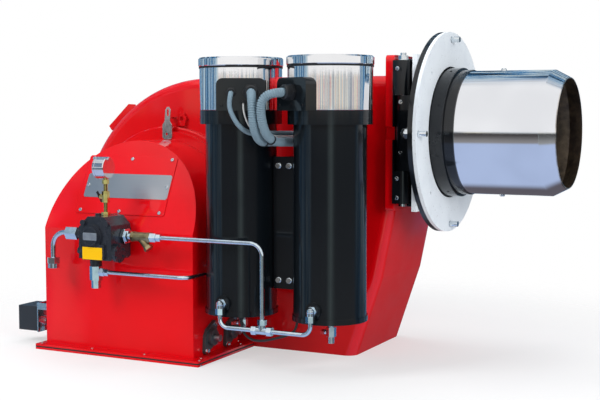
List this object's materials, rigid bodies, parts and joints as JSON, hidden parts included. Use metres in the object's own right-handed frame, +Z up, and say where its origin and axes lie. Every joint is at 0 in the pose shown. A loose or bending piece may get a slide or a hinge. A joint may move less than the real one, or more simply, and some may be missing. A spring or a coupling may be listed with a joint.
{
  "type": "oil burner",
  "caption": "Monobloc industrial oil burner: hinged firing head with blast tube, scroll fan housing, damper box, oil pump and tall oil preheaters.",
  "frame": {"origin": "centre of the mounting flange's outer gasket face, on the blast tube's axis", "axes": "+X along the blast tube towards the flame, +Y towards the fan motor, +Z up"},
  "size_m": [1.586, 1.161, 0.9305],
  "materials": {
    "red_paint": "gloss powder coat",
    "black_paint": "gloss powder coat",
    "black_cast": "satin black",
    "zinc": "zinc plated",
    "bright_steel": "machined",
    "tube_steel": "polished stainless",
    "cover_steel": "polished stainless",
    "white_board": "pressed ceramic fibre",
    "dark_gasket": "matt",
    "brass": "plain",
    "plate_alu": "brushed",
    "glass": "clear",
    "grey_conduit": "ribbed",
    "white_cable": "smooth",
    "black_cable": "smooth",
    "dark_plastic": "fine grain",
    "motor_paint": "satin",
    "winding": "varnished",
    "wheel_steel": "galvanised",
    "disc_steel": "heat-tinted",
    "porcelain": "glazed",
    "red_lever": "dipped",
    "black_needle": "matt"
  },
  "bodies": {
    "burner": {"scroll_housing": "red_paint", "motor_plate": "red_paint", "inlet_ring": "red_paint", "intake_box": "red_paint", "base_gasket": "dark_gasket", "base_frame": "red_paint", "access_panel": "red_paint", "nameplate": "plate_alu", "small_screws": "zinc", "motor_frame": "motor_paint", "motor_cowl": "motor_paint", "motor_stator": "winding", "bearings": "black_cast", "large_bolts": "zinc", "pump_body": "black_cast", "gauge_case": "bright_steel", "gauge_glass": "glass", "gauge_stem": "brass", "line_fittings": "zinc", "y_strainer": "brass", "oil_pipes": "zinc", "preheater_shell_left": "black_paint", "preheater_shell_right": "black_paint", "preheater_cover_left": "cover_steel", "preheater_cover_right": "cover_steel", "heating_elements": "black_paint", "terminal_cover_left": "black_paint", "terminal_cover_right": "black_paint", "cable_glands": "dark_plastic", "preheater_bracket": "black_paint", "conduit_thin": "grey_conduit", "conduit_left": "grey_conduit", "conduit_right": "grey_conduit", "sensor_cable": "white_cable", "low_cable": "black_cable", "servo_motor": "dark_plastic", "zinc_brackets": "zinc", "hinge_leaf": "black_paint", "hinge_pin": "zinc"},
    "head": {"head_frame": "black_paint", "head_gasket": "white_board", "flange_disc": "black_paint", "flange_gasket": "white_board", "flange_bolts": "zinc", "blast_tube": "tube_steel", "diffuser_disc": "disc_steel", "oil_lance": "bright_steel", "ignition_electrodes": "porcelain"},
    "fan": {"motor_shaft": "bright_steel", "fan_wheel": "wheel_steel", "pump_coupling": "bright_steel", "motor_fan": "dark_plastic"},
    "front_damper": {"damper_blade_front": "wheel_steel", "servo_crank": "zinc"},
    "rear_damper": {"damper_blade_rear": "wheel_steel"},
    "damper_rod": {"damper_link": "zinc"},
    "needle": {"gauge_needle": "black_needle"},
    "gauge_cock": {"gauge_cock_lever": "dark_plastic"},
    "left_drain": {"drain_lever_left": "red_lever"},
    "right_drain": {"drain_lever_right": "red_lever"}
  },
  "joints": [
    {"name": "head_swing", "type": "hinge", "parent": "burner", "child": "head", "pos_m": [-0.068, -0.206, 0], "axis": [0, 0, -1], "range_deg": [0, 90]},
    {"name": "fan_spin", "type": "hinge", "parent": "burner", "child": "fan", "pos_m": [-0.845, 0, -0.283], "axis": [0, 1, 0], "continuous": true},
    {"name": "damper_turn", "type": "hinge", "parent": "burner", "child": "front_damper", "pos_m": [-0.845, -0.384, -0.582], "axis": [1, 0, 0], "range_deg": [0, 85]},
    {"name": "rear_damper_turn", "type": "hinge", "parent": "burner", "child": "rear_damper", "pos_m": [-0.845, -0.268, -0.582], "axis": [1, 0, 0], "range_deg": [0, 85]},
    {"name": "damper_rod_turn", "type": "hinge", "parent": "front_damper", "child": "damper_rod", "pos_m": [-1.138, -0.384, -0.624], "axis": [1, 0, 0], "range_deg": [-85, 0]},
    {"name": "gauge_needle_turn", "type": "hinge", "parent": "burner", "child": "needle", "pos_m": [-0.856, -0.52, -0.098], "axis": [1, 0, 0], "range_deg": [0, 270]},
    {"name": "gauge_cock_turn", "type": "hinge", "parent": "burner", "child": "gauge_cock", "pos_m": [-0.863, -0.52, -0.18], "axis": [1, 0, 0], "range_deg": [0, 90]},
    {"name": "left_drain_turn", "type": "hinge", "parent": "burner", "child": "left_drain", "pos_m": [-0.487, -0.4, -0.528], "axis": [1, 0, 0], "range_deg": [0, 90]},
    {"name": "right_drain_turn", "type": "hinge", "parent": "burner", "child": "right_drain", "pos_m": [-0.216, -0.4, -0.532], "axis": [1, 0, 0], "range_deg": [0, 90]}
  ],
  "couplings": [
    {"joint": "rear_damper_turn", "follows": "damper_turn", "ratio": 1},
    {"joint": "damper_rod_turn", "follows": "damper_turn", "ratio": -1}
  ]
}
